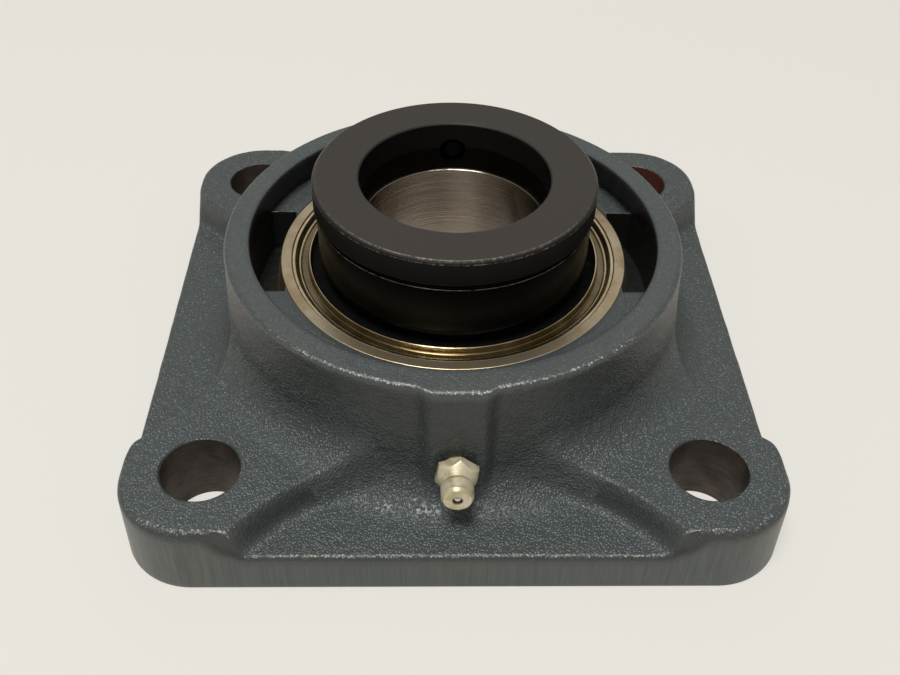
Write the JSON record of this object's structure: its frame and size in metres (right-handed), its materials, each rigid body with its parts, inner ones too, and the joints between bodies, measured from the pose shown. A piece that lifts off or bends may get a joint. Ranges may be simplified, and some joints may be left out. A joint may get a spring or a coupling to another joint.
{
  "type": "flange bearing unit",
  "caption": "Square four-bolt cast flange housing with a self-aligning ball bearing insert, a grease nipple and an eccentric locking collar that clamps a through shaft.",
  "frame": {"origin": "centre of the square mounting face, on the shaft's axis", "axes": "+Z along the shaft's axis, from the mounting face towards the locking collar; -Y towards the grease nipple"},
  "size_m": [0.1348, 0.1348, 0.0531],
  "materials": {
    "housing": "dark blue-grey paint on a sand casting",
    "nipple": "yellow-passivated zinc",
    "ball_steel": "polished",
    "spring_steel": "drawn wire",
    "outer_ring": "ground",
    "shield": "yellow chromate",
    "seal_rubber": "matte",
    "inner_ring": "ground",
    "cage": "pressed sheet",
    "collar": "black oxide"
  },
  "bodies": {
    "housing": {"housing": "housing", "grease_nipple_body": "nipple", "grease_nipple_spring": "spring_steel"},
    "nipple_ball": {"grease_nipple_ball": "ball_steel"},
    "outer_ring": {"outer_ring": "outer_ring", "front_seal_shield": "shield", "front_seal_lip": "seal_rubber", "rear_seal_shield": "shield", "rear_seal_lip": "seal_rubber"},
    "inner_ring": {"inner_ring": "inner_ring"},
    "cage": {"cage_front": "cage", "cage_rear": "cage", "cage_rivets": "cage"},
    "ball_1": {"ball_1": "ball_steel"},
    "ball_2": {"ball_2": "ball_steel"},
    "ball_3": {"ball_3": "ball_steel"},
    "ball_4": {"ball_4": "ball_steel"},
    "ball_5": {"ball_5": "ball_steel"},
    "ball_6": {"ball_6": "ball_steel"},
    "ball_7": {"ball_7": "ball_steel"},
    "ball_8": {"ball_8": "ball_steel"},
    "ball_9": {"ball_9": "ball_steel"},
    "locking_collar": {"locking_collar": "collar"},
    "set_screw": {"collar_set_screw": "collar"}
  },
  "joints": [
    {"name": "alignment_tilt", "type": "hinge", "parent": "housing", "child": "outer_ring", "pos_m": [0, 0, 0.022], "axis": [0, 1, 0], "range_deg": [-2.5, 2.5]},
    {"name": "inner_ring_spin", "type": "hinge", "parent": "outer_ring", "child": "inner_ring", "pos_m": [0, 0, 0.022], "axis": [0, 0, 1], "continuous": true},
    {"name": "cage_orbit", "type": "hinge", "parent": "outer_ring", "child": "cage", "pos_m": [0, 0, 0.022], "axis": [0, 0, 1], "continuous": true},
    {"name": "ball_1_spin", "type": "hinge", "parent": "cage", "child": "ball_1", "pos_m": [0.03, 0, 0.022], "axis": [0, 0, 1], "continuous": true},
    {"name": "ball_2_spin", "type": "hinge", "parent": "cage", "child": "ball_2", "pos_m": [0.02298, 0.01928, 0.022], "axis": [0, 0, 1], "continuous": true},
    {"name": "ball_3_spin", "type": "hinge", "parent": "cage", "child": "ball_3", "pos_m": [0.00521, 0.02954, 0.022], "axis": [0, 0, 1], "continuous": true},
    {"name": "ball_4_spin", "type": "hinge", "parent": "cage", "child": "ball_4", "pos_m": [-0.015, 0.02598, 0.022], "axis": [0, 0, 1], "continuous": true},
    {"name": "ball_5_spin", "type": "hinge", "parent": "cage", "child": "ball_5", "pos_m": [-0.02819, 0.01026, 0.022], "axis": [0, 0, 1], "continuous": true},
    {"name": "ball_6_spin", "type": "hinge", "parent": "cage", "child": "ball_6", "pos_m": [-0.02819, -0.01026, 0.022], "axis": [0, 0, 1], "continuous": true},
    {"name": "ball_7_spin", "type": "hinge", "parent": "cage", "child": "ball_7", "pos_m": [-0.015, -0.02598, 0.022], "axis": [0, 0, 1], "continuous": true},
    {"name": "ball_8_spin", "type": "hinge", "parent": "cage", "child": "ball_8", "pos_m": [0.00521, -0.02954, 0.022], "axis": [0, 0, 1], "continuous": true},
    {"name": "ball_9_spin", "type": "hinge", "parent": "cage", "child": "ball_9", "pos_m": [0.02298, -0.01928, 0.022], "axis": [0, 0, 1], "continuous": true},
    {"name": "collar_lock", "type": "hinge", "parent": "inner_ring", "child": "locking_collar", "pos_m": [0.0008, 0, 0.037], "axis": [0, 0, 1], "range_deg": [-30, 30]},
    {"name": "set_screw_travel", "type": "slide", "parent": "locking_collar", "child": "set_screw", "axis": [0, -1, 0], "range_m": [-0.006, 0.001]},
    {"name": "nipple_ball_press", "type": "slide", "parent": "housing", "child": "nipple_ball", "axis": [0, 1, 0], "range_m": [0, 0.0008], "stiffness_N_per_m": 300, "springref_m": -0.003, "deforming": ["grease_nipple_spring"]}
  ],
  "couplings": [
    {"joint": "cage_orbit", "follows": "inner_ring_spin", "ratio": 0.4},
    {"joint": "ball_1_spin", "follows": "inner_ring_spin", "ratio": -2.4},
    {"joint": "ball_2_spin", "follows": "inner_ring_spin", "ratio": -2.4},
    {"joint": "ball_3_spin", "follows": "inner_ring_spin", "ratio": -2.4},
    {"joint": "ball_4_spin", "follows": "inner_ring_spin", "ratio": -2.4},
    {"joint": "ball_5_spin", "follows": "inner_ring_spin", "ratio": -2.4},
    {"joint": "ball_6_spin", "follows": "inner_ring_spin", "ratio": -2.4},
    {"joint": "ball_7_spin", "follows": "inner_ring_spin", "ratio": -2.4},
    {"joint": "ball_8_spin", "follows": "inner_ring_spin", "ratio": -2.4},
    {"joint": "ball_9_spin", "follows": "inner_ring_spin", "ratio": -2.4}
  ]
}
